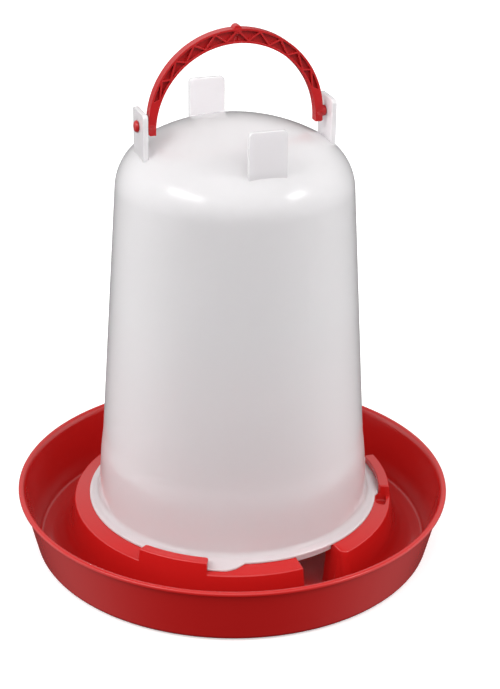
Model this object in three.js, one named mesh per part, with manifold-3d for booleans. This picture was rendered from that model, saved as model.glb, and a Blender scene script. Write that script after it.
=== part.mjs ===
// Bayonet poultry drinker: a round trough, a bell-shaped water reservoir and a carry handle.
// Millimetres, +Z up, +X along the handle's pivot axis, origin at the centre of the trough's underside.
// Angles are in degrees, counter-clockwise from +X as seen from above.
import * as THREE from 'three';
import { mergeVertices } from 'three/addons/utils/BufferGeometryUtils.js';
import Module from 'manifold-3d';

const wasm = await Module();
wasm.setup();

// ---- driving dimensions ----
const GAP = 0.3;                 // clearance between pieces that touch
const OVERLAP = 1;               // how far solids that are joined or cut run past each other

// trough (drinking tray)
const RIM_R = 172.5;             // outer radius of the out-turned rim
const TRAY_H = 50;               // rim height
const FOOT_R = 158.6;            // outer wall produced down to the ground
const RIM_OVERHANG = 2.3;        // how far the rim stands out from the wall
const RIM_DEPTH = 3;             // depth of the rim's outer edge
const RIM_ROOT = 4;              // where the rim's underside meets the wall, below the top
const RIM_CHAMFER = 0.9;
const FOOT_BEVEL = [[6, 0], [2.5, 1.2], [0, 4.5]]; // round the foot: inward of the wall, up
const TROUGH_CORNER = [[0, 8], [0.8, 4.4]]; // between the wall and the trough floor: inward, up
const WALL = 2.5;                // moulded wall thickness of the tray
const FLOOR = 2.6;               // floor thickness, centre and trough
const TROUGH_FLOOR_IN = 148.5;   // flat trough floor, from here ...
const TROUGH_FLOOR_OUT = 155.8;  // ... to here
const COLLAR_TOP = 36.5;         // top of the bayonet collar at its outer edge ...
const COLLAR_RISE = 0.186;       // ... and its rise per millimetre inward
const COLLAR_OUT = 128;
const COLLAR_IN = 114;
const LEDGE_TOP = 33;            // ledge under the reservoir's skirt
const LEDGE_IN = 108.5;
const COLLAR_CHAMFER = 1;
const COLLAR_FLARE = 17.5;       // concave fillet from the collar down to the trough floor ...
const FLARE_END = 186;           // ... and the direction from its centre in which it meets the collar
const HOLLOW_FROM = 240;         // the hollow under the collar follows the fillet from here on
const HOLLOW_MOUTH = 136;        // outer radius of the hollow on the underside

// bayonet hoods: bridges on the collar, open at one end, that the reservoir's lugs turn under
const HOOD_COUNT = 3;
const HOOD_FIRST = -129.2;       // middle of the first hood
const HOOD_SPAN = 25;
const HOOD_TOP = 46;
const HOOD_IN = 118.3;
const HOOD_OUT = 126.8;
const HOOD_STOP = 1.3;           // thickness of the closed end, in degrees
const ROOF_UNDER = 40.7;
const SLOT_OUT = 124.2;
const WATER_WAY = [-83.3, -66.3]; // the water way through the collar, at its top
const WATER_WAY_DRAFT = 1.5;     // slope of one end face, in degrees at the trough
const WATER_WAY_CORNER = 6;      // length of that end's sloping corner
const WATER_WAY_WALL = 2.4;      // solid collar left on each side of it, in degrees
const NOTCH = { from: -29.2, to: -21.7, inner: 116.6, outer: 124.8, floor: 32.5 };

// reservoir
const BELL_R_LOW = 106.6;        // outer radius of the wall at BELL_Z_LOW
const BELL_Z_LOW = 50;
const BELL_LEAN = 0.0666;        // radius lost per millimetre of height
const BELL_WALL = 2.2;
const STEP_TOP = 91;             // moulded step: the wall below it stands proud
const STEP_BOTTOM = 86.5;
const STEP_OUT = 1;
const SHOULDER_Z = 299.6;        // where the shoulder arc leaves the straight wall
const SHOULDER_R = 39.4;
const CROWN_R = 139.8;
const FLANGE_R = 115.8;          // flange that rests on the collar; the skirt below it centres it
const FLANGE_T = 1.7;
const FLANGE_ROOT_T = 2.7;       // its thickness beside the bell
const FLANGE_FILLET = [2, 2.5];  // between flange and bell: across, up
const FLANGE_FLAT_R = 113;       // the flange's top is flat up to here
const SKIRT_R = 113.4;
const SKIRT_T = 2.2;
const LUG_OUT = 123.7;           // bayonet lugs: the flange widened along three stretches
const LUG_LEAD_R = 118;          // their leading end passes inside the hood
const LUG_LEAD = 2.4;            // how far it shows beyond the hood, in degrees
const LUG_STOP_GAP = 0.3;        // from the hood's closed end, in degrees
const LUG_TAIL = [7.2, 9.9, 13.2]; // trailing end, in degrees beyond the hood: outer edge, corner, root
const LUG_TAIL_R = 121.3;
const EAR = { width: 28.7, thick: 3.8, mid: 72.2, top: 362.7, corner: 3.5 };
const EAR_HOLE_R = 3.35;

// carry handle
const PIN_Z = 351.1;
const ARCH_OUT = 67.2;           // outer arc, about the pin axis
const ARCH_IN = 61.6;            // inner arc, about a centre below the pin axis
const ARCH_IN_DROP = 5.1;
const HANDLE_DEPTH = 8;
const HANDLE_END = 344;
const HANDLE_CHAMFER = 1;
const RIM_T = 1.6;               // outer and inner flange of the arch
const WEB_T = 2.2;
const RIB_T = 1.2;
const RIB_PITCH = 15;            // degrees between ribs' feet on one flange
const RIB_BAYS = 5;              // bays on each side of the top
const PIN_R = 3;
const PIN_HEAD = { radius: 4.5, height: 2.8 };
const PIN_SHOULDER_R = 4.15;
const NUB = { radius: 3.4, sunk: 0.9, length: 7 };
const CORD_NOTCH = { radius: 3.6, sunk: 1.8 };

const ROUND = 60;                // facets of the large round pieces
const rad = THREE.MathUtils.degToRad;

// ---- solids ----
function indexTriangles(geometry) {
  const bare = geometry.clone();
  bare.deleteAttribute('normal');
  bare.deleteAttribute('uv');
  const welded = mergeVertices(bare, 1e-4);
  const index = welded.index.array;
  const kept = [];
  for (let i = 0; i < index.length; i += 3) {
    const [a, b, c] = [index[i], index[i + 1], index[i + 2]];
    if (a !== b && b !== c && c !== a) kept.push(a, b, c);
  }
  return { positions: welded.attributes.position.array, triangles: kept };
}

function toSolid(geometry) {
  const { positions, triangles } = indexTriangles(geometry);
  return new wasm.Manifold(new wasm.Mesh({
    numProp: 3,
    vertProperties: new Float32Array(positions),
    triVerts: new Uint32Array(triangles),
  }));
}

function toGeometry(solid) {
  const mesh = solid.getMesh();
  const geometry = new THREE.BufferGeometry();
  geometry.setAttribute('position', new THREE.BufferAttribute(mesh.vertProperties, 3));
  geometry.setIndex(new THREE.BufferAttribute(mesh.triVerts, 1));
  geometry.computeVertexNormals();
  return geometry;
}

// A solid of revolution about Z from [radius, height] points, outer surface first.
function turned(points, segments = ROUND) {
  const profile = points.map(([r, z]) => new THREE.Vector2(r, z));
  return toSolid(new THREE.LatheGeometry(profile, segments).rotateX(Math.PI / 2));
}

// A flat outline in XY raised from one height to another.
function raised(shape, bottom, top, curveSegments = 8) {
  const geometry = new THREE.ExtrudeGeometry(shape, {
    depth: top - bottom,
    bevelEnabled: false,
    curveSegments,
  });
  return toSolid(geometry.translate(0, 0, bottom));
}

// An outline drawn in XZ, extruded along Y and centred on y = 0.
function upright(shape, depth, curveSegments = 12) {
  const geometry = new THREE.ExtrudeGeometry(shape, { depth, bevelEnabled: false, curveSegments });
  return toSolid(geometry.translate(0, 0, -depth / 2).rotateX(Math.PI / 2));
}

// A round bar along X.
function barX(radius, from, to, segments = 20) {
  const geometry = new THREE.CylinderGeometry(radius, radius, Math.abs(to - from), segments);
  return toSolid(geometry.rotateZ(Math.PI / 2).translate((from + to) / 2, 0, PIN_Z));
}

// Points of an arc in a [radius, height] profile.
function arc(cx, cz, radius, fromDeg, toDeg, steps) {
  return Array.from({ length: steps + 1 }, (_, i) => {
    const a = rad(fromDeg + ((toDeg - fromDeg) * i) / steps);
    return [cx + radius * Math.cos(a), cz + radius * Math.sin(a)];
  });
}

const polar = (radius, degrees) => [radius * Math.cos(rad(degrees)), radius * Math.sin(rad(degrees))];

// A ring segment in plan.
function ringSegment(inner, outer, fromDeg, toDeg) {
  const shape = new THREE.Shape();
  shape.absarc(0, 0, outer, rad(fromDeg), rad(toDeg), false);
  shape.absarc(0, 0, inner, rad(toDeg), rad(fromDeg), true);
  shape.closePath();
  return shape;
}

function polygon(points) {
  return new THREE.Shape(points.map(([x, y]) => new THREE.Vector2(x, y)));
}

// ---- drinking tray ----
const collarTop = (r) => COLLAR_TOP + COLLAR_RISE * (COLLAR_OUT - r);

function trayProfile() {
  const lean = (RIM_R - RIM_OVERHANG - FOOT_R) / TRAY_H;
  const outerWall = (z) => FOOT_R + lean * z;
  const innerWall = (z) => outerWall(z) - WALL;
  return [
    [0, 0],
    ...FOOT_BEVEL.map(([inward, up]) => [outerWall(up) - inward, up]),
    [outerWall(TRAY_H - RIM_ROOT), TRAY_H - RIM_ROOT],
    [RIM_R, TRAY_H - RIM_DEPTH],
    [RIM_R, TRAY_H - RIM_CHAMFER],
    [RIM_R - RIM_CHAMFER, TRAY_H],
    [innerWall(TRAY_H) + RIM_CHAMFER, TRAY_H],
    [innerWall(TRAY_H - RIM_CHAMFER), TRAY_H - RIM_CHAMFER],
    ...TROUGH_CORNER.map(([inward, up]) => [innerWall(up) - inward, up]),
    [TROUGH_FLOOR_OUT, FLOOR],
    ...arc(TROUGH_FLOOR_IN, FLOOR + COLLAR_FLARE, COLLAR_FLARE, 270, FLARE_END, 6),
    [COLLAR_OUT, COLLAR_TOP - COLLAR_CHAMFER],
    [COLLAR_OUT - COLLAR_CHAMFER, collarTop(COLLAR_OUT - COLLAR_CHAMFER)],
    [COLLAR_IN, collarTop(COLLAR_IN)],
    [COLLAR_IN, LEDGE_TOP],
    [LEDGE_IN, LEDGE_TOP],
    [LEDGE_IN, FLOOR],
    [0, FLOOR],
  ];
}

// The collar is hollow underneath, except beside the water way.
function collarHollow() {
  const top = LEDGE_TOP - WALL;
  const flare = COLLAR_FLARE + WALL;
  const inner = LEDGE_IN + WALL;
  const ring = turned([
    [inner, -OVERLAP],
    [HOLLOW_MOUTH, -OVERLAP],
    ...arc(TROUGH_FLOOR_IN, FLOOR + COLLAR_FLARE, flare, HOLLOW_FROM, FLARE_END, 4),
    [COLLAR_OUT - WALL, top],
    [inner, top],
    [inner, -OVERLAP],
  ]);
  const [from, to] = WATER_WAY;
  const solidPart = ringSegment(BELL_R_LOW, FOOT_R, from - WATER_WAY_WALL, to + WATER_WAY_WALL);
  return ring.subtract(raised(solidPart, -2 * OVERLAP, COLLAR_TOP));
}

// Cut through the collar and its fillet; the end face on the right slopes.
function waterWay() {
  const [from, to] = WATER_WAY;
  const inner = LEDGE_IN - 3 * OVERLAP;
  const outer = TROUGH_FLOOR_IN + OVERLAP;
  const outline = polygon([
    polar(inner, from),
    polar(outer, from),
    polar(outer, to + WATER_WAY_DRAFT),
    polar(COLLAR_OUT, to + WATER_WAY_DRAFT),
    polar(COLLAR_OUT - WATER_WAY_CORNER, to),
    polar(inner, to),
  ]);
  return raised(outline, FLOOR, HOOD_TOP);
}

const hoodStart = (i) => HOOD_FIRST + i * (360 / HOOD_COUNT) - HOOD_SPAN / 2;

// A roof and an outer wall, open towards the reservoir and at the end where a lug comes in.
function hood(i) {
  const from = hoodStart(i);
  const cap = ringSegment(HOOD_IN, HOOD_OUT, from, from + HOOD_SPAN);
  const slot = ringSegment(HOOD_IN - OVERLAP, SLOT_OUT, from + HOOD_STOP, from + HOOD_SPAN + HOOD_STOP);
  const bridge = raised(cap, LEDGE_TOP - OVERLAP, HOOD_TOP);
  return bridge.subtract(raised(slot, LEDGE_TOP - 2 * OVERLAP, ROOF_UNDER));
}

function drainNotch() {
  const outline = ringSegment(NOTCH.inner, NOTCH.outer, NOTCH.from, NOTCH.to);
  return raised(outline, NOTCH.floor, collarTop(COLLAR_IN));
}

function drinkingTray() {
  let tray = turned(trayProfile()).subtract(waterWay()).subtract(drainNotch());
  for (let i = 0; i < HOOD_COUNT; i += 1) tray = tray.add(hood(i));
  return tray.subtract(collarHollow());
}

// ---- water reservoir ----
const bellR = (z) => BELL_R_LOW - BELL_LEAN * (z - BELL_Z_LOW);

// Shoulder and crown arcs that meet tangentially, moved inward by the wall thickness for the inside.
function domeProfile(inset) {
  const lean = THREE.MathUtils.radToDeg(Math.atan(BELL_LEAN));
  const cx = bellR(SHOULDER_Z) - SHOULDER_R * Math.cos(rad(lean));
  const cz = SHOULDER_Z - SHOULDER_R * Math.sin(rad(lean));
  const reach = THREE.MathUtils.radToDeg(Math.asin(cx / (CROWN_R - SHOULDER_R)));
  const crownZ = cz - (CROWN_R - SHOULDER_R) * Math.cos(rad(reach));
  return [
    ...arc(cx, cz, SHOULDER_R - inset, lean, 90 - reach, 6),
    ...arc(0, crownZ, CROWN_R - inset, 90 - reach, 90, 4).slice(1, -1),
    [0, crownZ + CROWN_R - inset],
  ];
}

// Underside of the flange and lugs, parallel to the collar's top.
const flangeUnder = (r) => collarTop(r) + GAP;
const SKIRT_BOTTOM = LEDGE_TOP + GAP;
const FLANGE_TOP = flangeUnder(FLANGE_FLAT_R) + FLANGE_T;

function bell() {
  const [across, up] = FLANGE_FILLET;
  return turned([
    [0, SKIRT_BOTTOM],
    [SKIRT_R, SKIRT_BOTTOM],
    [SKIRT_R, flangeUnder(SKIRT_R)],
    [FLANGE_R, flangeUnder(FLANGE_R)],
    [FLANGE_R, flangeUnder(FLANGE_R) + FLANGE_T],
    [FLANGE_FLAT_R, FLANGE_TOP],
    [bellR(FLANGE_TOP) + STEP_OUT + across, FLANGE_TOP],
    [bellR(FLANGE_TOP + up) + STEP_OUT, FLANGE_TOP + up],
    [bellR(STEP_BOTTOM) + STEP_OUT, STEP_BOTTOM],
    [bellR(STEP_TOP), STEP_TOP],
    ...domeProfile(0),
  ]);
}

function bellHollow() {
  const underFlange = FLANGE_TOP - FLANGE_ROOT_T;
  return turned([
    [0, SKIRT_BOTTOM - OVERLAP],
    [SKIRT_R - SKIRT_T, SKIRT_BOTTOM - OVERLAP],
    [SKIRT_R - SKIRT_T, underFlange],
    [bellR(underFlange) - BELL_WALL, underFlange],
    ...domeProfile(BELL_WALL),
  ]);
}

// Plan of the i-th lug: a narrow leading end, the full width under the hood, and a sloping tail.
function lugOutline(i) {
  const from = hoodStart(i);
  const end = from + HOOD_SPAN;
  const [outerEnd, corner, root] = LUG_TAIL.map((degrees) => end + degrees);
  const inner = FLANGE_R - OVERLAP;
  const full = from + HOOD_STOP + LUG_STOP_GAP;
  const shape = new THREE.Shape();
  shape.moveTo(...polar(inner, from - LUG_LEAD));
  shape.absarc(0, 0, LUG_LEAD_R, rad(from), rad(full), false);
  shape.absarc(0, 0, LUG_OUT, rad(full), rad(outerEnd), false);
  shape.lineTo(...polar(LUG_TAIL_R, corner));
  shape.absarc(0, 0, inner, rad(root), rad(from - LUG_LEAD), true);
  shape.closePath();
  return shape;
}

function bayonetLug(i) {
  const inner = FLANGE_R - 2 * OVERLAP;
  const outer = LUG_OUT + OVERLAP;
  const ring = turned([
    [inner, flangeUnder(inner)],
    [outer, flangeUnder(outer)],
    [outer, flangeUnder(outer) + FLANGE_T],
    [inner, flangeUnder(inner) + FLANGE_T],
    [inner, flangeUnder(inner)],
  ]);
  return ring.intersect(raised(lugOutline(i), LEDGE_TOP, HOOD_TOP, 12));
}

// An upright plate on the dome; four of them carry the handle and the upturned reservoir.
function ear(turn, drilled) {
  const half = EAR.width / 2;
  const c = EAR.corner;
  const shape = new THREE.Shape();
  shape.moveTo(-half, SHOULDER_Z);
  shape.lineTo(half, SHOULDER_Z);
  shape.lineTo(half, EAR.top - c);
  shape.absarc(half - c, EAR.top - c, c, 0, Math.PI / 2, false);
  shape.lineTo(-half + c, EAR.top);
  shape.absarc(-half + c, EAR.top - c, c, Math.PI / 2, Math.PI, false);
  shape.closePath();
  if (drilled) {
    const hole = new THREE.Path();
    hole.absarc(0, PIN_Z, EAR_HOLE_R, 0, 2 * Math.PI, false);
    shape.holes.push(hole);
  }
  const geometry = new THREE.ExtrudeGeometry(shape, {
    depth: EAR.thick,
    bevelEnabled: false,
    curveSegments: drilled ? 20 : 5,
  });
  geometry.translate(0, 0, -EAR.mid - EAR.thick / 2).rotateX(Math.PI / 2).rotateZ(rad(turn));
  return toSolid(geometry);
}

function waterReservoir() {
  let solid = bell();
  for (let i = 0; i < 4; i += 1) solid = solid.add(ear(i * 90, i % 2 === 1));
  for (let i = 0; i < HOOD_COUNT; i += 1) solid = solid.add(bayonetLug(i));
  return solid.subtract(bellHollow());
}

// ---- carry handle ----
function archOutline() {
  const shape = new THREE.Shape();
  shape.moveTo(ARCH_OUT - HANDLE_CHAMFER, HANDLE_END);
  shape.lineTo(ARCH_OUT, HANDLE_END + HANDLE_CHAMFER);
  shape.absarc(0, PIN_Z, ARCH_OUT, 0, Math.PI, false);
  shape.lineTo(-ARCH_OUT, HANDLE_END + HANDLE_CHAMFER);
  shape.lineTo(-ARCH_OUT + HANDLE_CHAMFER, HANDLE_END);
  shape.lineTo(-ARCH_IN, HANDLE_END);
  shape.absarc(0, PIN_Z - ARCH_IN_DROP, ARCH_IN, Math.PI, 0, true);
  shape.lineTo(ARCH_IN, HANDLE_END);
  shape.closePath();
  return shape;
}

// Foot of a rib on the outer or the inner flange; the angle is from the top, clockwise.
const outerFoot = (deg) => new THREE.Vector2(
  (ARCH_OUT - RIM_T) * Math.sin(rad(deg)),
  PIN_Z + (ARCH_OUT - RIM_T) * Math.cos(rad(deg)),
);
const innerFoot = (deg) => new THREE.Vector2(
  (ARCH_IN + RIM_T) * Math.sin(rad(deg)),
  PIN_Z - ARCH_IN_DROP + (ARCH_IN + RIM_T) * Math.cos(rad(deg)),
);

// A triangle with each side moved inward by half a rib.
function pocket(corners) {
  const centre = corners[0].clone().add(corners[1]).add(corners[2]).divideScalar(3);
  const sides = corners.map((a, i) => {
    const b = corners[(i + 1) % 3];
    const normal = new THREE.Vector2(b.y - a.y, a.x - b.x).normalize();
    if (normal.dot(centre.clone().sub(a)) < 0) normal.negate();
    return { normal, offset: normal.dot(a) + RIB_T / 2 };
  });
  return new THREE.Path(sides.map((s, i) => {
    const t = sides[(i + 2) % 3];
    const det = s.normal.x * t.normal.y - s.normal.y * t.normal.x;
    return new THREE.Vector2(
      (s.offset * t.normal.y - t.offset * s.normal.y) / det,
      (t.offset * s.normal.x - s.offset * t.normal.x) / det,
    );
  }));
}

function ribbedOutline() {
  const shape = archOutline();
  for (let k = -RIB_BAYS; k < RIB_BAYS; k += 1) {
    const [a, mid, b] = [k * RIB_PITCH, (k + 0.5) * RIB_PITCH, (k + 1) * RIB_PITCH];
    shape.holes.push(pocket([outerFoot(a), outerFoot(b), innerFoot(mid)]));
    if (k > -RIB_BAYS) shape.holes.push(pocket([innerFoot(a - RIB_PITCH / 2), innerFoot(mid), outerFoot(a)]));
  }
  return shape;
}

// Shoulder, shaft and domed snap head, on one side of the handle.
function pivotPin(side) {
  const earInner = EAR.mid - EAR.thick / 2;
  const earOuter = EAR.mid + EAR.thick / 2;
  const shoulder = barX(PIN_SHOULDER_R, side * (ARCH_OUT - OVERLAP), side * (earInner - GAP));
  const shaft = barX(PIN_R, side * (ARCH_OUT - 2 * OVERLAP), side * (earOuter + GAP + OVERLAP));
  const dome = arc(0, 0, 1, 15, 89.9, 4).map(([x, y]) => [x * PIN_HEAD.radius, y * PIN_HEAD.height]);
  const profile = [[0, 0], [PIN_HEAD.radius, 0], ...dome, [0, PIN_HEAD.height]];
  const head = new THREE.LatheGeometry(profile.map(([r, h]) => new THREE.Vector2(r, h)), 20);
  head.rotateZ((-side * Math.PI) / 2).translate(side * (earOuter + GAP), 0, PIN_Z);
  return shoulder.add(shaft).add(toSolid(head));
}

// A round bar along Y, centred on the arch.
function barY(radius, z, length, segments = 24) {
  return toSolid(new THREE.CylinderGeometry(radius, radius, length, segments).translate(0, 0, z));
}

function carryHandle() {
  const ribs = upright(ribbedOutline(), HANDLE_DEPTH);
  const web = upright(archOutline(), WEB_T);
  const nubZ = PIN_Z + ARCH_OUT - NUB.sunk;
  const notchZ = PIN_Z - ARCH_IN_DROP + ARCH_IN - CORD_NOTCH.sunk;
  const nub = barY(NUB.radius, nubZ, NUB.length);
  const cordNotch = barY(CORD_NOTCH.radius, notchZ, HANDLE_DEPTH + 2 * OVERLAP);
  return ribs.add(web).add(nub).subtract(cordNotch).add(pivotPin(-1)).add(pivotPin(1));
}

// ---- the object ----
const RED = new THREE.MeshStandardMaterial({ color: 0xb01c20, roughness: 0.35, metalness: 0 });
const DARK_RED = new THREE.MeshStandardMaterial({ color: 0xa01c22, roughness: 0.4, metalness: 0 });
const NATURAL = new THREE.MeshStandardMaterial({ color: 0xe9e9ec, roughness: 0.3, metalness: 0 });

function piece(name, solid, material) {
  const mesh = new THREE.Mesh(toGeometry(solid), material);
  mesh.name = name;
  return mesh;
}

const drinker = new THREE.Group();
drinker.add(piece('drinking_tray', drinkingTray(), RED));
drinker.add(piece('water_reservoir', waterReservoir(), NATURAL));
drinker.add(piece('carry_handle', carryHandle(), DARK_RED));

export default drinker;
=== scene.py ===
"""Bayonet poultry drinker: the visual model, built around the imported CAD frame.

Shapes are modelled in millimetres, in the frame of the part, and scaled to metres as objects.
Angles are in degrees, counter-clockwise from +X as seen from above.
"""

import math

import bmesh
import bpy
from mathutils import Matrix, Vector
from mathutils.geometry import delaunay_2d_cdt


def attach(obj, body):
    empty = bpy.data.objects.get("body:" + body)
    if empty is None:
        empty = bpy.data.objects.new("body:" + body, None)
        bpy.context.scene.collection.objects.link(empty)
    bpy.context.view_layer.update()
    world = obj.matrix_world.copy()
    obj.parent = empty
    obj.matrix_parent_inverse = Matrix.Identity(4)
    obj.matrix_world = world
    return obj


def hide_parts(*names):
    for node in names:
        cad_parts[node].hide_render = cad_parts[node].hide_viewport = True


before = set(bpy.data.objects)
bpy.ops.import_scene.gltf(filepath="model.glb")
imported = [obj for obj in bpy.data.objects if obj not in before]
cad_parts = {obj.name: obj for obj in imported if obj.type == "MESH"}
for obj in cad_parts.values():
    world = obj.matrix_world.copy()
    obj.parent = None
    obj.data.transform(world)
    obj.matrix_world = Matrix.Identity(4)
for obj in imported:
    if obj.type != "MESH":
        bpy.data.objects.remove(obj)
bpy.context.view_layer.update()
MM = 0.001

# ---- tray ----
RIM_R = 172.5
TRAY_H = 50.0
FOOT_R = 158.6
WALL = 2.5
FLOOR = 2.6
COLLAR_TOP = 36.5        # at its outer edge, and rising inward by COLLAR_RISE per millimetre
COLLAR_RISE = 0.186
COLLAR_OUT = 128.0
COLLAR_IN = 114.0
COLLAR_FOOT = 133.3      # collar wall produced down to the trough floor
FLARE = 14.5             # reach of the concave fillet at the collar's foot
LEDGE_TOP = 33.0
LEDGE_IN = 108.5
HOOD_COUNT = 3
HOOD_FIRST = -129.2
HOOD_SPAN = 25.0
HOOD_TOP = 46.0
HOOD_IN = 118.3
HOOD_CORNER = 2.6        # rounding of the hood's inner corners in plan
HOOD_STOP = 1.3          # thickness of the closed end, in degrees
ROOF_UNDER = 40.7
SLOT_OUT = 124.2
WATER_WAY = (-83.3, -66.3)
WATER_WAY_CORNER = 6.0   # rounding of its right-hand end, in plan ...
WATER_WAY_RAMP = 5.0     # ... and how far that end slopes out into the water way
NOTCH = (-29.2, -21.7)
NOTCH_IN, NOTCH_OUT, NOTCH_FLOOR = 116.6, 124.8, 32.5
WATER_WAY_SOLID = 2.4    # the collar isn't hollow this many degrees to each side of it
RIM_OVERHANG = 2.4       # how far the rim stands out from the wall
HUB_R = 30.0             # radius of the ring of points near the axis of the tray's floor
SIDE_Z = 28              # height of the spare corner in the collar's outer wall
DEEP = 99.0              # a distance from a hood's end at which no rounding is left
LIP_STEP = 0.4           # spacing of the spare corners on a plain collar
RING_STEP = 1.5          # degrees between rings of the plain collar
RING_MARGIN = 0.4        # degrees kept free of plain rings around a feature
END_STEPS = (0.0, 0.07, 0.2, 0.45, 0.8, 1.3, 1.9, 2.6)
WATER_WAY_STEPS = (0.0, 0.1, 0.3, 0.7, 1.2, 2.0, 3.0, 4.2, 5.6, 8.0, 12.0, 16.0)
STEPS = 4                # segments in a small fillet

# ---- reservoir ----
BELL_R, BELL_Z, BELL_LEAN = 106.6, 50.0, 0.0666
BELL_WALL = 2.2
STEP_TOP, STEP_BOTTOM, STEP_OUT = 96.0, 82.0, 1.0
STEP_ROUNDING = 40.0
FLANGE_FILLET = 4.2      # between the flange and the bell
SHOULDER_Z, SHOULDER_R, CROWN_R = 299.6, 39.4, 139.8
FLANGE_R, FLANGE_FLAT_R, FLANGE_T = 115.8, 113.0, 1.95
SEAT = 0.05              # the flange and lugs stop this far above the collar
SKIRT_R, SKIRT_T = 113.4, 2.2
SKIRT_BOTTOM = LEDGE_TOP + 0.3
LUG_OUT, LUG_LEAD_R, LUG_LEAD = 123.7, 118.0, 2.4
LUG_TAIL = (7.2, 9.9, 13.2)  # degrees beyond the hood: end of the outer edge, corner, root
LUG_TAIL_R = 121.3
EAR_W, EAR_T, EAR_R, EAR_TOP, EAR_CORNER = 28.7, 3.8, 72.2, 362.7, 3.5
EAR_HOLE = 3.35
EAR_ROOT = SHOULDER_Z + 18  # the ears start here, inside the dome's wall

# ---- handle ----
PIN_Z = 351.1
ARCH_OUT, ARCH_IN, ARCH_DROP = 67.2, 61.6, 5.1
HANDLE_DEPTH, HANDLE_END = 8.0, 344.0
RIM_T, WEB_T, RIB_T = 1.6, 2.2, 1.1
RIB_PITCH, RIB_BAYS = 15.0, 5
PIN_R, HEAD_R, HEAD_H, PIN_SHOULDER_R = 3.0, 4.5, 2.8, 4.15
NUB_R, CORD_NOTCH_R = 3.4, 3.6
RIB_EDGE, WEB_EDGE = 0.22, 0.1  # rounding of the edges
POCKET_MARGIN = 0.15     # how far a pocket keeps from its flange's chord
PIN_GAP = 0.3            # between an ear and the pin's shoulder or head

# ---- camera and studio, in metres ----
CAMERA_AZIMUTH = -18.24
CAMERA_ELEVATION = 31.19
CAMERA_DISTANCE = 1.3617
CAMERA_TARGET = (0.01205, -0.00397, 0.1676)
CAMERA_ROLL = 0.726
CAMERA_LENS = 85.69
WORLD_LEVELS = ((0.5, 0.04), (0.60, 0.3), (0.68, 0.85), (0.80, 0.8), (0.92, 0.22), (1.0, 0.1))
WORLD_FRONT = 1.6        # added high on the camera's side
WORLD_SIDES = 1.5        # added towards the left and right
KEY_LIGHT = {"turn": -55, "rise": 39, "size": (1.15, 0.36), "power": 9}
FILL_LIGHT = {"turn": 67, "rise": 34, "size": (0.5, 0.36), "power": 5}
LIGHT_DISTANCE = 1.9
LIGHT_TARGET = (0, 0, 0.2)
GROUND_HALF, GROUND_Z = 6.0, -0.0004
PAINTED_TRAY_GLOW_HEIGHTS = (0.03, 0.22)  # painted red glow from the tray: full at the first height, none from the second
# colour of the painted glow, standing in for the red tray's light shining through the reservoir's foot
PAINTED_TRAY_GLOW_COLOUR = (0.88, 0.77, 0.79)


# ==== mesh helpers ====
def mesh_object(name, verts, faces):
    mesh = bpy.data.meshes.new(name)
    mesh.from_pydata([tuple(v) for v in verts], [], faces)
    mesh.validate()
    obj = bpy.data.objects.new(name, mesh)
    bpy.context.scene.collection.objects.link(obj)
    return obj


def evaluated(obj):
    """The object's mesh with its modifiers applied, and the modifiers gone."""
    graph = bpy.context.evaluated_depsgraph_get()
    mesh = bpy.data.meshes.new_from_object(obj.evaluated_get(graph))
    obj.modifiers.clear()
    return mesh


def combine(base, operation, others):
    """Unites the others with base, or cuts them from it, and deletes them."""
    for other in others:
        cut = base.modifiers.new("combine", "BOOLEAN")
        cut.operation = operation
        cut.solver = "EXACT"
        cut.object = other
        base.data = evaluated(base)
        bpy.data.objects.remove(other)
    return base


def finish_mesh(obj, sharp=38.0):
    """Scales the mesh to metres, and gives it smooth shading with sharp edges where it folds."""
    obj.data.transform(Matrix.Scale(MM, 4))
    work = bmesh.new()
    work.from_mesh(obj.data)
    bmesh.ops.remove_doubles(work, verts=work.verts, dist=2e-6)
    bmesh.ops.dissolve_degenerate(work, dist=2e-6, edges=work.edges)
    bmesh.ops.recalc_face_normals(work, faces=work.faces)
    work.to_mesh(obj.data)
    work.free()
    obj.data.shade_smooth()
    obj.data.set_sharp_from_angle(angle=math.radians(sharp))
    normals = obj.modifiers.new("even shading", "WEIGHTED_NORMAL")
    normals.keep_sharp = True
    normals.weight = 60
    return obj


def polar(radius, degrees):
    return (radius * math.cos(math.radians(degrees)), radius * math.sin(math.radians(degrees)))


def arc(cx, cz, radius, start, end, steps):
    angles = [math.radians(start + (end - start) * i / steps) for i in range(steps + 1)]
    return [(cx + radius * math.cos(a), cz + radius * math.sin(a)) for a in angles]


def room(length, neighbour):
    """How much of a side a corner's arc may take, with a neighbour that has a fillet of its own."""
    fillet = neighbour[2] if len(neighbour) > 2 else 0
    return max(0.48 * length, length - fillet - 0.02)


def rounded(corners):
    """An outline through (x, y, fillet, steps) corners, each inner one replaced by an arc."""
    points = [Vector(corners[0][:2])]
    for before, corner, after in zip(corners, corners[1:], corners[2:]):
        here = Vector(corner[:2])
        to_a = Vector(before[:2]) - here
        to_b = Vector(after[:2]) - here
        reach = min(corner[2], room(to_a.length, before), room(to_b.length, after))
        a = here + to_a.normalized() * reach
        b = here + to_b.normalized() * reach
        weight = math.sin(to_a.angle(to_b, math.pi) / 2)
        for i in range(corner[3] + 1):
            t = i / corner[3]
            ka, kc, kb = (1 - t) ** 2, 2 * weight * t * (1 - t), t * t
            points.append((a * ka + here * kc + b * kb) / (ka + kc + kb))
    points.append(Vector(corners[-1][:2]))
    return points


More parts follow.
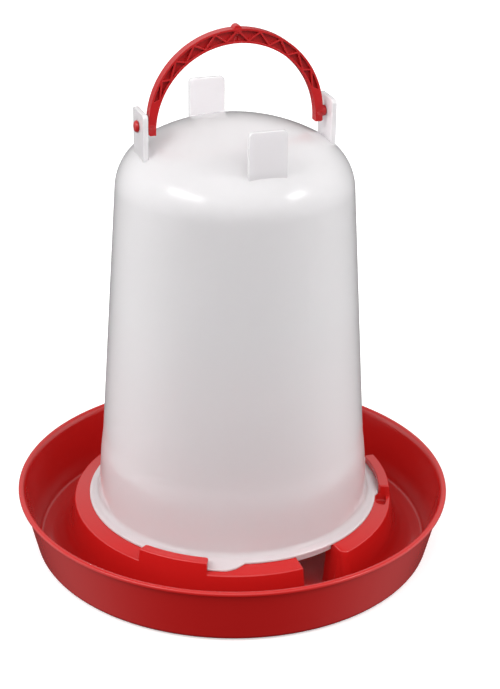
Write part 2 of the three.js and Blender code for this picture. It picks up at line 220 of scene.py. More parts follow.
def swept(name, rings):
    """A solid of revolution from (angle, outline) rings, whose outlines start and end on the axis."""
    count = len(rings[0][1]) - 2
    verts = [(0, 0, rings[0][1][0][1])]
    for angle, outline in rings:
        a = math.radians(angle)
        verts += [(r * math.cos(a), r * math.sin(a), z) for r, z in outline[1:-1]]
    verts.append((0, 0, rings[0][1][-1][1]))
    last = len(verts) - 1
    faces = []
    for s in range(len(rings)):
        here, there = 1 + s * count, 1 + ((s + 1) % len(rings)) * count
        faces.append((0, here, there))
        faces += [(here + k, here + k + 1, there + k + 1, there + k) for k in range(count - 1)]
        faces.append((here + count - 1, last, there + count - 1))
    return mesh_object(name, verts, faces)


def turned(name, outline, segments=48):
    return swept(name, [(360 * k / segments, outline) for k in range(segments)])


def oriented(outline, clockwise):
    area = sum(a[0] * b[1] - b[0] * a[1] for a, b in zip(outline, outline[1:] + outline[:1]))
    return outline if (area < 0) == clockwise else outline[::-1]


def moved_inward(outline, distance):
    """The closed outline moved to its left, into the material, with mitred corners."""
    moved = []
    for before, here, after in zip(outline[-1:] + outline[:-1], outline, outline[1:] + outline[:1]):
        into = Vector(here) - Vector(before)
        away = Vector(after) - Vector(here)
        first = Vector((-into.y, into.x)).normalized()
        second = Vector((-away.y, away.x)).normalized()
        moved.append(Vector(here) + (first + second) * (distance / (1 + first.dot(second))))
    return moved


def enclosed(point, flat, edges):
    """Whether a point lies inside the outer outline and outside every pocket."""
    inside = False
    for a, b in edges:
        (ax, ay), (bx, by) = flat[a], flat[b]
        if (ay > point.y) == (by > point.y):
            continue
        if point.x < ax + (bx - ax) * (point.y - ay) / (by - ay):
            inside = not inside
    return inside


def slab(name, outlines, depth, edge, edge_steps=3):
    """A plate from closed XY outlines, holes after the edge, centred on z = 0, with rounded edges."""
    outlines = [oriented(outline, i > 0) for i, outline in enumerate(outlines)]
    levels = []
    for k in range(edge_steps + 1):
        a = math.radians(90 * k / edge_steps)
        levels.append((edge * (1 - math.cos(a)), depth / 2 - edge + edge * math.sin(a)))
    levels = [(inset, -z) for inset, z in reversed(levels)] + levels
    verts, faces, rings = [], [], []
    for inset, z in levels:
        starts = []
        for outline in outlines:
            starts.append(len(verts))
            verts += [(x, y, z) for x, y in moved_inward(outline, inset)]
        rings.append(starts)
    for lower, upper in zip(rings, rings[1:]):
        for low, high, outline in zip(lower, upper, outlines):
            count = len(outline)
            for k in range(count):
                after = (k + 1) % count
                faces.append((low + k, low + after, high + after, high + k))
    per_level = sum(len(outline) for outline in outlines)
    flat = [Vector(v[:2]) for v in verts[:per_level]]
    edges = []
    for start, outline in zip(rings[0], outlines):
        edges += [(start + k, start + (k + 1) % len(outline)) for k in range(len(outline))]
    filled = delaunay_2d_cdt(flat, edges, [], 0, 1e-6)
    origin = [ids[0] for ids in filled[3]]
    top = rings[-1][0]
    for triangle in filled[2]:
        corner = [origin[v] for v in triangle]
        if not enclosed(sum((flat[v] for v in corner), Vector((0, 0))) / 3, flat, edges):
            continue
        faces.append(tuple(reversed(corner)))
        faces.append(tuple(top + v for v in corner))
    return mesh_object(name, verts, faces)


# ==== drinking tray ====
def fillet_loss(s, radius):
    """How far a rounded corner falls short of the square one, at distance s from the end."""
    if s >= radius:
        return 0.0
    return radius - math.sqrt(radius * radius - (radius - s) ** 2)


def cone(r):
    """Height of the collar's top at radius r."""
    return COLLAR_TOP + COLLAR_RISE * (COLLAR_OUT - r)


def wall_r(z):
    """Radius of the collar's outer wall, which the hoods' outer faces continue."""
    return COLLAR_OUT + (COLLAR_FOOT - COLLAR_OUT) * (COLLAR_TOP - z) / (COLLAR_TOP - FLOOR)


def collar_section(inner, lip, cap, outer_loss=0.0):
    """Corners of the collar from the basin floor over its top and down to the trough floor."""
    return [
        (LEDGE_IN, FLOOR, 1.5, STEPS),
        (LEDGE_IN, LEDGE_TOP, 0.6, STEPS),
        (COLLAR_IN, LEDGE_TOP, 0.4, STEPS),
        inner,
        *lip,
        *cap,
        (wall_r(SIDE_Z) - outer_loss, SIDE_Z, 0.5, STEPS),
        (COLLAR_FOOT - outer_loss, FLOOR, FLARE, 12),
    ]


def plain_collar(lip_from=COLLAR_IN + 3, outer_loss=0.0, drop=0.0):
    """The collar's cone-shaped top; lip_from is where the spare corners for a hood's end lie."""
    outer = COLLAR_OUT - outer_loss
    spare = [lip_from + LIP_STEP * k for k in range(3)]
    lip = [(r, cone(r) - drop, 0.1, STEPS) for r in spare]
    last = lip_from + 4 * LIP_STEP
    cap = [(last, cone(last) - drop, 0.2, STEPS), (outer, COLLAR_TOP - drop, 1.2, STEPS)]
    inner = (COLLAR_IN, cone(COLLAR_IN) - drop, 0.8, STEPS)
    return collar_section(inner, lip, cap, outer_loss)


def hood_section(s=DEEP):
    """Section through a hood before its slot is cut, s from its end."""
    inner = HOOD_IN + fillet_loss(s, HOOD_CORNER)
    top = HOOD_TOP - fillet_loss(s, 1.0)
    lip = [(inner, cone(inner), 0.5, STEPS), (inner, 41, 0.2, STEPS), (inner, 43, 0.2, STEPS)]
    cap = [(inner, top, 0.9, STEPS), (wall_r(top), top, 1.1, STEPS)]
    return collar_section((COLLAR_IN, cone(COLLAR_IN), 0.8, STEPS), lip, cap)


def low_collar(drop):
    """Section through the sloping end of the water way, its top lowered by drop."""
    return [
        (r, max(z - drop, FLOOR), min(rounding, 2.0) if z - drop < FLOOR else rounding, steps)
        for r, z, rounding, steps in plain_collar(COLLAR_IN + 3, WATER_WAY_CORNER)
    ]


def open_floor():
    """Section through the water way: the collar's corners laid flat on the floor."""
    radii = [109, 110.5, 112.5, 115, 117, 119, 121, 124, 128, 132]
    flat = [(r, FLOOR, 0.3, STEPS) for r in radii]
    return flat + [(141, FLOOR, 1.5, 12)]


def outer_section():
    """Corners from the trough floor over the rim and down to the tray's underside."""
    lean = (RIM_R - RIM_OVERHANG - FOOT_R) / TRAY_H
    return [
        (FOOT_R - WALL + 0.4, FLOOR, 2.2, STEPS + 2),
        (FOOT_R - WALL + lean * (TRAY_H - 3), TRAY_H - 3, 1.5, STEPS),
        (FOOT_R - WALL + lean * TRAY_H + 1.2, TRAY_H, 1.5, STEPS),
        (RIM_R, TRAY_H, 1.5, STEPS),
        (RIM_R, TRAY_H - 3.2, 1.1, STEPS),
        (FOOT_R + lean * (TRAY_H - 3.8), TRAY_H - 3.8, 0.9, STEPS),
        (FOOT_R + lean * 20, 20, 2.0, STEPS),
        (FOOT_R, 0, 5.0, STEPS + 2),
    ]


def under_section(hollow):
    """Corners of the underside; the collar is hollow from below, except beside the water way."""
    if not hollow:
        return [(r, 0, 0.3, STEPS) for r in (139.5, 133, 126, 113, 111)]
    return [
        (139.5, 0, 0.5, STEPS),
        (131.2, 1.4, 7.0, STEPS),
        (125.4, LEDGE_TOP - WALL, 1.0, STEPS),
        (LEDGE_IN + WALL, LEDGE_TOP - WALL, 1.0, STEPS),
        (LEDGE_IN + WALL, 0, 0.5, STEPS),
    ]


def degrees_for(millimetres, radius=COLLAR_OUT - 6):
    return math.degrees(millimetres / radius)


def hood_start(i):
    return HOOD_FIRST + i * 360 / HOOD_COUNT - HOOD_SPAN / 2


def hood_rings(i):
    """Rings that the i-th hood needs, as (angle, corners): close together at its rounded ends."""
    start = hood_start(i)
    end = start + HOOD_SPAN
    beside = plain_collar(HOOD_IN + HOOD_CORNER)
    rings = [(start - degrees_for(0.1), beside)]
    rings += [(start + degrees_for(s), hood_section(s)) for s in END_STEPS]
    rings += [(start + HOOD_SPAN * k / 16, hood_section()) for k in range(1, 16)]
    rings += [(end - degrees_for(s), hood_section(s)) for s in reversed(END_STEPS)]
    rings.append((end + degrees_for(0.1), beside))
    return rings


def water_way_rings():
    """The collar's two ends beside the water way: a small rounding on one, a large one on the other."""
    start, end = WATER_WAY
    rings = []
    for s in reversed(WATER_WAY_STEPS):
        rings.append((start - degrees_for(s), plain_collar(
            COLLAR_IN + 3, fillet_loss(s, 1.0), fillet_loss(s, 1.2))))
    rings.append((start + degrees_for(1.0), open_floor()))
    rings += [(start + (end - start) * k / 12, open_floor()) for k in range(1, 9)]
    rings.append((end - degrees_for(WATER_WAY_RAMP + 0.8), open_floor()))
    for part in [k / 8 for k in range(1, 8)]:
        drop = (COLLAR_TOP - FLOOR) * (1 - part ** 1.8)
        rings.append((end - degrees_for(WATER_WAY_RAMP * (1 - part)), low_collar(drop)))
    for s in WATER_WAY_STEPS:
        rings.append((end + degrees_for(s), plain_collar(
            COLLAR_IN + 3, fillet_loss(s, WATER_WAY_CORNER), fillet_loss(s, 1.0))))
    return rings


def feature_spans():
    """Angles that the features' own rings cover, each also one turn earlier for those that cross 0."""
    spans = [(WATER_WAY[0] - 8, WATER_WAY[1] + 8)]
    spans += [(hood_start(i), hood_start(i) + HOOD_SPAN) for i in range(HOOD_COUNT)]
    wrapped = [(lo % 360 - 360 * turn, hi - lo) for lo, hi in spans for turn in (0, 1)]
    return [(start, start + width) for start, width in wrapped]


def tray_rings():
    """All rings round the tray, as (angle, corners, hollow), in order of angle."""
    special = water_way_rings()
    for i in range(HOOD_COUNT):
        special += hood_rings(i)
    rings = [(a % 360, corners) for a, corners in special]
    busy = feature_spans()
    for k in range(round(360 / RING_STEP)):
        a = k * RING_STEP
        if not any(lo - RING_MARGIN < a < hi + RING_MARGIN for lo, hi in busy):
            rings.append((a, plain_collar()))
    start, end = WATER_WAY[0] % 360, WATER_WAY[1] % 360
    rings.sort(key=lambda ring: ring[0])
    lo, hi = start - WATER_WAY_SOLID, end + WATER_WAY_SOLID
    return [(a, corners, not lo < a < hi) for a, corners in rings]


def hood_slot(i):
    """What is cut from under the i-th hood, as far as the closed end, for a lug to turn into."""
    start = hood_start(i) + HOOD_STOP
    end = hood_start(i) + HOOD_SPAN + 1.5
    inner = HOOD_IN - 1.5
    low = {r: cone(r) + 0.02 for r in (inner, SLOT_OUT)}
    section = [(inner, low[inner]), (SLOT_OUT, low[SLOT_OUT]), (SLOT_OUT, ROOF_UNDER), (inner, ROOF_UNDER)]
    steps = 24
    verts = []
    for k in range(steps + 1):
        a = math.radians(start + (end - start) * k / steps)
        verts += [(r * math.cos(a), r * math.sin(a), z) for r, z in section]
    faces = [(0, 1, 2, 3), tuple(4 * steps + v for v in (3, 2, 1, 0))]
    for k in range(steps):
        for v in range(4):
            after = (v + 1) % 4
            faces.append((4 * k + v, 4 * k + 4 + v, 4 * k + 4 + after, 4 * k + after))
    return mesh_object("slot", verts, faces)


def collar_notch():
    """A rounded tool for the notch in the collar's top, beside the second hood."""
    start, end = NOTCH
    outer = arc(0, 0, NOTCH_OUT, start, end, 2)
    inner = arc(0, 0, NOTCH_IN, end, start, 2)
    mid = polar((NOTCH_IN + NOTCH_OUT) / 2, start)
    corners = [(*mid, 0, 1), (*outer[0], 3.4, 6)] + [(*p, 0.1, 1) for p in outer[1:-1]]
    corners += [(*outer[-1], 1.0, 3), (*inner[0], 1.0, 3)] + [(*p, 0.1, 1) for p in inner[1:-1]]
    corners += [(*inner[-1], 3.4, 6), (*mid, 0, 1)]
    outline = [tuple(p) for p in rounded(corners)][1:]
    height = 12
    tool = slab("notch", [outline], height, 0.8)
    tool.data.transform(Matrix.Translation((0, 0, NOTCH_FLOOR + height / 2)))
    return tool


def drinking_tray():
    rings = []
    for angle, corners, hollow in tray_rings():
        outline = [(0, FLOOR, 0, 1), (HUB_R, FLOOR, 0, STEPS), *corners, *outer_section(),
                   *under_section(hollow), (HUB_R, 0, 0, STEPS), (0, 0, 0, 1)]
        rings.append((angle, rounded(outline)))
    tray = swept("tray_moulding", rings)
    slots = [hood_slot(i) for i in range(HOOD_COUNT)]
    return finish_mesh(combine(tray, "DIFFERENCE", [*slots, collar_notch()]))


# ==== water reservoir ====
def bell_r(z):
    return BELL_R - BELL_LEAN * (z - BELL_Z)


def dome(inset):
    """The shoulder and crown arcs, from the wall to the axis."""
    lean = math.degrees(math.atan(BELL_LEAN))
    cx = bell_r(SHOULDER_Z) - SHOULDER_R * math.cos(math.radians(lean))
    cz = SHOULDER_Z - SHOULDER_R * math.sin(math.radians(lean))
    reach = math.degrees(math.asin(cx / (CROWN_R - SHOULDER_R)))
    crown_z = cz - (CROWN_R - SHOULDER_R) * math.cos(math.radians(reach))
    shoulder = arc(cx, cz, SHOULDER_R - inset, lean, 90 - reach, 20)
    crown = arc(0, crown_z, CROWN_R - inset, 90 - reach, 90, 14)[1:]
    return shoulder + crown[:-1] + [(0, crown_z + CROWN_R - inset)]


def lug_reach(angle):
    """Radius of the flange at this angle: it widens into a lug under and beyond each hood."""
    for i in range(HOOD_COUNT):
        past = (angle - hood_start(i) + LUG_LEAD) % 360 - LUG_LEAD
        outer_end, corner, root = [HOOD_SPAN + degrees for degrees in LUG_TAIL]
        stops = [
            (-LUG_LEAD, FLANGE_R), (-0.1, LUG_LEAD_R), (HOOD_STOP + 0.3, LUG_LEAD_R),
            (HOOD_STOP + 0.5, LUG_OUT), (outer_end - 1.6, LUG_OUT), (outer_end - 0.5, LUG_OUT - 0.25),
            (outer_end + 0.6, LUG_OUT - 0.95), (corner, LUG_TAIL_R - 0.2), (root, FLANGE_R),
        ]
        for (a, low), (b, high) in zip(stops, stops[1:]):
            if a <= past <= b:
                return low + (high - low) * (past - a) / (b - a)
    return FLANGE_R


def bell_outline(reach):
    """From the dome's inner apex down to the mouth, out to the flange's edge and up the outside."""
    flange_top = cone(FLANGE_FLAT_R) + SEAT + FLANGE_T
    mouth_top = flange_top - FLANGE_T
    inside = [(r, z) for r, z in reversed(dome(BELL_WALL))]
    heights = [280, 250, 220, 190, 160, 130, 105, STEP_TOP + 1]
    inside += [(bell_r(z) - BELL_WALL, z) for z in heights]
    inner_low = bell_r(mouth_top) + STEP_OUT - BELL_WALL
    corners = [
        (bell_r(STEP_TOP) - BELL_WALL, STEP_TOP, 0, STEPS),
        (bell_r(STEP_BOTTOM) + STEP_OUT - BELL_WALL, STEP_BOTTOM, 2.0, STEPS),
        (inner_low, mouth_top + 5, 1.5, STEPS),
        (SKIRT_R - SKIRT_T, mouth_top - 1, 1.5, STEPS),
        (SKIRT_R - SKIRT_T, SKIRT_BOTTOM, 0.5, STEPS),
        (SKIRT_R, SKIRT_BOTTOM, 0.7, STEPS),
        (SKIRT_R, cone(SKIRT_R) + SEAT, 0.3, STEPS),
        (reach, cone(reach) + SEAT, 0.35, STEPS),
        (reach, cone(reach) + SEAT + FLANGE_T, 0.7, STEPS),
        (FLANGE_FLAT_R, flange_top, 0.5, STEPS),
        (bell_r(flange_top) + STEP_OUT, flange_top, FLANGE_FILLET, 8),
        (bell_r(STEP_BOTTOM) + STEP_OUT, STEP_BOTTOM, STEP_ROUNDING, 6),
        (bell_r(STEP_TOP), STEP_TOP, STEP_ROUNDING, 6),
        (bell_r(100), 100, 0.5, STEPS),
    ]
    outside = [(bell_r(z), z) for z in (115, 130, 160, 190, 220, 250, 280)]
    return inside + [tuple(p) for p in rounded(corners)] + outside + dome(0)


def reservoir_rings():
    """Angles of the bell's rings: even all round, and close together where a lug's outline turns."""
    angles = {round(k * 1.875, 3) for k in range(192)}
    for i in range(HOOD_COUNT):
        start, end = hood_start(i), hood_start(i) + HOOD_SPAN
        turns = [-LUG_LEAD, -LUG_LEAD / 2, -0.1, HOOD_STOP + 0.3, HOOD_STOP + 0.5]
        angles |= {round((start + a) % 360, 3) for a in turns}
        angles |= {round((end + LUG_TAIL[0] - 2.4 + 0.6 * k) % 360, 3) for k in range(15)}
    return [(a, bell_outline(lug_reach(a))) for a in sorted(angles)]


def ear(turn, drilled):
    """A plate standing on the dome; the pair on the pivot axis is drilled for the handle's pins."""
    half = EAR_W / 2
    corners = [
        (0, EAR_ROOT, 0, 1),
        (half, EAR_ROOT, 0.5, 2),
        (half, EAR_TOP, EAR_CORNER, 8),
        (-half, EAR_TOP, EAR_CORNER, 8),
        (-half, EAR_ROOT, 0.5, 2),
        (-0.4, EAR_ROOT, 0, 1),
    ]
    outlines = [[tuple(p) for p in rounded(corners)]]
    if drilled:
        outlines.append(list(reversed(arc(0, PIN_Z, EAR_HOLE, 0, 352.5, 47))))
    plate = slab("ear", outlines, EAR_T, 0.55)
    upright = Matrix.Rotation(math.radians(turn), 4, "Z") @ Matrix.Translation((0, -EAR_R, 0))
    plate.data.transform(upright @ Matrix.Rotation(math.pi / 2, 4, "X"))
    return plate


def water_reservoir():
    bell = swept("reservoir_moulding", reservoir_rings())
    ears = [ear(90 * i, i % 2 == 1) for i in range(4)]
    return finish_mesh(combine(bell, "UNION", ears))


# ==== carry handle ====
def arch_outline(inset=0.0):
    right = arc(0, PIN_Z, ARCH_OUT - inset, 0, 180, 96)
    left_end = [(-ARCH_OUT + inset, HANDLE_END + 1), (-ARCH_OUT + 1, HANDLE_END + inset)]
    inner = arc(0, PIN_Z - ARCH_DROP, ARCH_IN + inset, 180, 0, 96)
    return (right + left_end + [(-ARCH_IN - inset, HANDLE_END + inset)] + inner
            + [(ARCH_IN + inset, HANDLE_END + inset), (ARCH_OUT - 1, HANDLE_END + inset),
               (ARCH_OUT - inset, HANDLE_END + 1)])


def foot_outer(deg):
    a = math.radians(deg)
    return Vector(((ARCH_OUT - RIM_T) * math.sin(a), PIN_Z + (ARCH_OUT - RIM_T) * math.cos(a)))


def foot_inner(deg):
    a = math.radians(deg)
    reach = ARCH_IN + RIM_T
    return Vector((reach * math.sin(a), PIN_Z - ARCH_DROP + reach * math.cos(a)))


def pocket(corners, rim_centre, rim_radius):
    """A triangular pocket between two ribs and a flange; its first side follows the flange."""
    middle = (corners[0] + corners[1] + corners[2]) / 3
    sides = []
    for k, a in enumerate(corners):
        b = corners[(k + 1) % 3]
        normal = Vector((b.y - a.y, a.x - b.x)).normalized()
        if normal.dot(middle - a) < 0:
            normal.negate()
        sides.append((normal, normal.dot(a) + (RIB_T / 2 if k else POCKET_MARGIN)))
    tips = []
    for k in range(3):
        (n1, d1), (n2, d2) = sides[k], sides[k - 1]
        det = n1.x * n2.y - n1.y * n2.x
        tips.append(Vector(((d1 * n2.y - d2 * n1.y) / det, (d2 * n1.x - d1 * n2.x) / det)))
    outline = []
    for i in range(7):
        p = tips[0].lerp(tips[1], i / 6)
        away = p - rim_centre
        outline.append(tuple(rim_centre + away.normalized() * rim_radius))
    outline.append(tuple(tips[2]))
    return outline


def rib_pockets():
    pin = Vector((0, PIN_Z))
    inner_centre = Vector((0, PIN_Z - ARCH_DROP))
    holes = []
    for k in range(-RIB_BAYS, RIB_BAYS):
        a, mid, b = k * RIB_PITCH, (k + 0.5) * RIB_PITCH, (k + 1) * RIB_PITCH
        holes.append(pocket([foot_outer(a), foot_outer(b), foot_inner(mid)], pin, ARCH_OUT - RIM_T))
        if k > -RIB_BAYS:
            feet = [foot_inner(mid), foot_inner(a - RIB_PITCH / 2), foot_outer(a)]
            holes.append(pocket(feet, inner_centre, ARCH_IN + RIM_T))
    return holes


def bar_y(name, radius, z, length):
    ring = rounded([(0, -length / 2, 0, 1), (radius, -length / 2, 0.4, 3), (radius, length / 2, 0.4, 3),
                    (0, length / 2, 0, 1)])
    bar = turned(name, [tuple(p) for p in ring])
    bar.data.transform(Matrix.Translation((0, 0, z)) @ Matrix.Rotation(math.pi / 2, 4, "X"))
    return bar


def pivot_pin(side):
    """Shoulder, shaft and domed snap head in one turned shape, pointing outward along X."""
    root, ear_in, ear_out = ARCH_OUT - 1.5, EAR_R - EAR_T / 2, EAR_R + EAR_T / 2
    head_in = ear_out + PIN_GAP
    corners = [
        (0, root, 0, 1),
        (PIN_SHOULDER_R, root, 0.1, 2),
        (PIN_SHOULDER_R, ear_in - PIN_GAP, 0.5, 3),
        (PIN_R, ear_in - PIN_GAP, 0.2, 2),
        (PIN_R, head_in, 0.2, 2),
        (HEAD_R, head_in, 0.35, 3),
        (HEAD_R, head_in + 0.9, 0.4, 3),
        (HEAD_R * 0.72, head_in + HEAD_H, 1.2, 6),
        (0, head_in + HEAD_H, 0, 1),
    ]
    pin = turned("pin", [tuple(p) for p in rounded(corners)])
    aim = Matrix.Rotation(side * math.pi / 2, 4, "Y")
    pin.data.transform(Matrix.Translation((0, 0, PIN_Z)) @ aim)
    return pin


def carry_handle():
    stand = Matrix.Rotation(math.pi / 2, 4, "X")
    ribs = slab("handle_moulding", [arch_outline()] + rib_pockets(), HANDLE_DEPTH, RIB_EDGE)
    ribs.data.transform(stand)
    web = slab("web", [arch_outline(0.6)], WEB_T, WEB_EDGE)
    web.data.transform(stand)
    nub = bar_y("nub", NUB_R, PIN_Z + ARCH_OUT - 0.9, HANDLE_DEPTH - 1)
    notch = bar_y("notch", CORD_NOTCH_R, PIN_Z - ARCH_DROP + ARCH_IN - 1.8, HANDLE_DEPTH + 4)
    combine(ribs, "UNION", [web, nub, pivot_pin(-1), pivot_pin(1)])
    return finish_mesh(combine(ribs, "DIFFERENCE", [notch]))


# ==== materials ====
def new_material(name):
    material = bpy.data.materials.new(name)
    material.use_nodes = True
    nodes = material.node_tree.nodes
    return material, nodes, material.node_tree.links, nodes["Principled BSDF"]


def noise(nodes, links, coords, scale, detail=3.0, roughness=0.5):
    node = nodes.new("ShaderNodeTexNoise")
    node.inputs["Scale"].default_value = scale
    node.inputs["Detail"].default_value = detail
    node.inputs["Roughness"].default_value = roughness
    links.new(coords.outputs["Object"], node.inputs["Vector"])
    return node


def spread(nodes, links, source, low, high, start=0.0, end=1.0):
    """Maps a value between start and end to the range low to high."""
    node = nodes.new("ShaderNodeMapRange")
    node.inputs["From Min"].default_value = start
    node.inputs["From Max"].default_value = end
    node.inputs["To Min"].default_value = low
    node.inputs["To Max"].default_value = high
    links.new(source, node.inputs["Value"])
    return node.outputs["Result"]


def colour_mix(nodes, links, factor, first, second):
    node = nodes.new("ShaderNodeMix")
    node.data_type = "RGBA"
    links.new(factor, node.inputs["Factor"])
    node.inputs["A"].default_value = (*first, 1)
    node.inputs["B"].default_value = (*second, 1)
    return node.outputs["Result"]


def moulded_bump(nodes, links, shader, coords, scale, strength, distance):
    """The faint unevenness of a moulded surface."""
    grain = noise(nodes, links, coords, scale, 2.0)
    bump = nodes.new("ShaderNodeBump")
    bump.inputs["Strength"].default_value = strength
    bump.inputs["Distance"].default_value = distance
    links.new(grain.outputs["Fac"], bump.inputs["Height"])
    links.new(bump.outputs["Normal"], shader.inputs["Normal"])


def red_plastic(name, light, dark, rough):
    material, nodes, links, shader = new_material(name)
    coords = nodes.new("ShaderNodeTexCoord")
    flow = noise(nodes, links, coords, 9.0, 4.0)
    colour = colour_mix(nodes, links, flow.outputs["Fac"], dark, light)
    links.new(colour, shader.inputs["Base Color"])
    patch = noise(nodes, links, coords, 45.0, 3.0)
    links.new(spread(nodes, links, patch.outputs["Fac"], rough - 0.05, rough + 0.06),
              shader.inputs["Roughness"])
    shader.inputs["IOR"].default_value = 1.49
    moulded_bump(nodes, links, shader, coords, 900.0, 0.05, 0.0002)
    return material


def painted_tray_glow(nodes, links, coords, colour):
    """Paints a rosy glow on the reservoir's foot by height: painted light standing in for the red tray
    that shines through it.
    """
    split = nodes.new("ShaderNodeSeparateXYZ")
    links.new(coords.outputs["Object"], split.inputs[0])
    mix = nodes.new("ShaderNodeMix")
    mix.data_type = "RGBA"
    links.new(spread(nodes, links, split.outputs["Z"], 1.0, 0.0, *PAINTED_TRAY_GLOW_HEIGHTS), mix.inputs["Factor"])
    links.new(colour, mix.inputs["A"])
    mix.inputs["B"].default_value = (*PAINTED_TRAY_GLOW_COLOUR, 1)
    return mix.outputs["Result"]


def natural_polyethylene():
    material, nodes, links, shader = new_material("natural_polyethylene")
    coords = nodes.new("ShaderNodeTexCoord")
    cloud = noise(nodes, links, coords, 7.0, 3.0)
    colour = colour_mix(nodes, links, cloud.outputs["Fac"], (0.90, 0.875, 0.895), (0.925, 0.90, 0.92))
    # the base colour gets the painted red glow of the tray's light near the foot
    links.new(painted_tray_glow(nodes, links, coords, colour), shader.inputs["Base Color"])
    patch = noise(nodes, links, coords, 30.0, 3.0)
    links.new(spread(nodes, links, patch.outputs["Fac"], 0.15, 0.21), shader.inputs["Roughness"])
    shader.inputs["IOR"].default_value = 1.5
    shader.inputs["Transmission Weight"].default_value = 0.3
    shader.inputs["Subsurface Weight"].default_value = 1.0
    shader.inputs["Subsurface Radius"].default_value = (1.0, 1.0, 1.0)
    shader.inputs["Subsurface Scale"].default_value = 0.004
    moulded_bump(nodes, links, shader, coords, 500.0, 0.05, 0.0002)
    return material


def floor_material():
    material, nodes, links, shader = new_material("pale_floor")
    coords = nodes.new("ShaderNodeTexCoord")
    cloud = noise(nodes, links, coords, 3.0, 2.0)
    colour = colour_mix(nodes, links, cloud.outputs["Fac"], (0.90, 0.90, 0.90), (0.93, 0.93, 0.93))
    links.new(colour, shader.inputs["Base Color"])
    shader.inputs["Roughness"].default_value = 0.9
    shader.inputs["Specular IOR Level"].default_value = 0.1
    shader.inputs["Emission Color"].default_value = (1, 1, 1, 1)
    shader.inputs["Emission Strength"].default_value = 0.35
    return material


def paint(obj, material):
    obj.data.materials.clear()
    obj.data.materials.append(material)


# ==== studio ====
def add_camera():
    data = bpy.data.cameras.new("camera")
    data.sensor_width = 36
    data.lens = CAMERA_LENS
    data.clip_end = 50
    camera = bpy.data.objects.new("camera", data)
    azimuth, rise = math.radians(CAMERA_AZIMUTH), math.radians(CAMERA_ELEVATION)
    place = CAMERA_DISTANCE * Vector((
        math.sin(azimuth) * math.cos(rise), -math.cos(azimuth) * math.cos(rise), math.sin(rise)))
    aim = (place - Vector(CAMERA_TARGET)).to_track_quat("Z", "Y").to_matrix().to_4x4()
    roll = Matrix.Rotation(math.radians(CAMERA_ROLL), 4, "Z")
    camera.matrix_world = Matrix.Translation(place) @ aim @ roll
    bpy.context.scene.collection.objects.link(camera)
    bpy.context.scene.camera = camera


def add_softbox(name, box):
    """A rectangular area light aimed at the middle of the object; it is turned from the camera's side."""
    data = bpy.data.lights.new(name, "AREA")
    data.shape = "RECTANGLE"
    data.size, data.size_y = box["size"]
    data.energy = box["power"]
    light = bpy.data.objects.new(name, data)
    a, e = math.radians(CAMERA_AZIMUTH + box["turn"]), math.radians(box["rise"])
    away = Vector((math.sin(a) * math.cos(e), -math.cos(a) * math.cos(e), math.sin(e)))
    spot = Vector(LIGHT_TARGET) + away * LIGHT_DISTANCE
    light.matrix_world = Matrix.Translation(spot) @ away.to_track_quat("Z", "Y").to_matrix().to_4x4()
    bpy.context.scene.collection.objects.link(light)


def add_world():
    """A soft surround: a bright band above eye level, stronger in front and to the sides, dark below."""
    world = bpy.data.worlds.new("studio")
    bpy.context.scene.world = world
    world.use_nodes = True
    nodes, links = world.node_tree.nodes, world.node_tree.links
    coords = nodes.new("ShaderNodeTexCoord")
    azimuth = math.radians(CAMERA_AZIMUTH)
    height = along(nodes, links, coords, Vector((0, 0, 1)))
    level = level_ramp(nodes, links, spread(nodes, links, height, 0, 1, -1, 1))
    high_front = Vector((math.sin(azimuth), -math.cos(azimuth), 1.5)).normalized()
    front = spread(nodes, links, along(nodes, links, coords, high_front), 0, 1)
    sideways = along(nodes, links, coords, Vector((math.cos(azimuth), math.sin(azimuth), 0)))
    for direction, strength in ((front, WORLD_FRONT), (sideways, WORLD_SIDES)):
        square = arithmetic(nodes, links, "MULTIPLY", direction, direction)
        fourth = arithmetic(nodes, links, "MULTIPLY", square, square)
        level = arithmetic(nodes, links, "ADD", level, spread(nodes, links, fourth, 0, strength))
    links.new(level, nodes["Background"].inputs["Strength"])
    nodes["Background"].inputs["Color"].default_value = (1, 1, 1, 1)


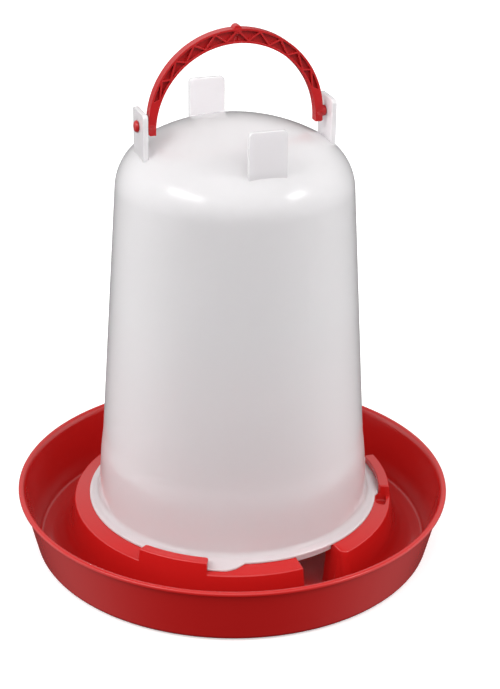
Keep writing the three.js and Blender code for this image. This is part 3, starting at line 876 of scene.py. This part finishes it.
def level_ramp(nodes, links, height):
    """The surround's brightness by height, from straight down (0) to straight up (1)."""
    ramp = nodes.new("ShaderNodeValToRGB")
    stops = ramp.color_ramp.elements
    stops.remove(stops[1])
    for k, (position, level) in enumerate(WORLD_LEVELS):
        stop = stops.new(position) if k else stops[0]
        stop.position = position
        stop.color = (level, level, level, 1)
    links.new(height, ramp.inputs["Fac"])
    return ramp.outputs["Color"]


def along(nodes, links, coords, direction):
    """How far the view ray points along a direction, from -1 to 1."""
    node = nodes.new("ShaderNodeVectorMath")
    node.operation = "DOT_PRODUCT"
    node.inputs[1].default_value = direction
    links.new(coords.outputs["Generated"], node.inputs[0])
    return node.outputs["Value"]


def arithmetic(nodes, links, operation, first, second):
    node = nodes.new("ShaderNodeMath")
    node.operation = operation
    links.new(first, node.inputs[0])
    links.new(second, node.inputs[1])
    return node.outputs["Value"]


def add_floor():
    """A large pale floor that glows a little to stay white; it lights nothing and isn't reflected."""
    signs = ((-1, -1), (1, -1), (1, 1), (-1, 1))
    corners = [(GROUND_HALF * x, GROUND_HALF * y, GROUND_Z) for x, y in signs]
    floor = mesh_object("floor", corners, [(0, 1, 2, 3)])
    paint(floor, floor_material())
    floor.visible_diffuse = False
    floor.visible_glossy = False


def add_studio():
    add_world()
    add_softbox("softbox_left", KEY_LIGHT)
    add_softbox("softbox_right", FILL_LIGHT)
    add_floor()
    bpy.context.scene.view_settings.view_transform = "Standard"


# ==== assembly ====
def place(piece, node, body, slot, material):
    paint(piece, material)
    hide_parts(node)
    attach(piece, body)


add_camera()
add_studio()
tray_red = red_plastic("red_polypropylene", (0.545, 0.0122, 0.0110), (0.49, 0.0102, 0.0095), 0.20)
handle_red = red_plastic("handle_polypropylene", (0.50, 0.0105, 0.012), (0.45, 0.0085, 0.010), 0.26)
place(drinking_tray(), "drinking_tray", "tray", "red_tray", tray_red)
place(water_reservoir(), "water_reservoir", "reservoir", "natural_polyethylene",
      natural_polyethylene())
place(carry_handle(), "carry_handle", "handle", "red_handle", handle_red)
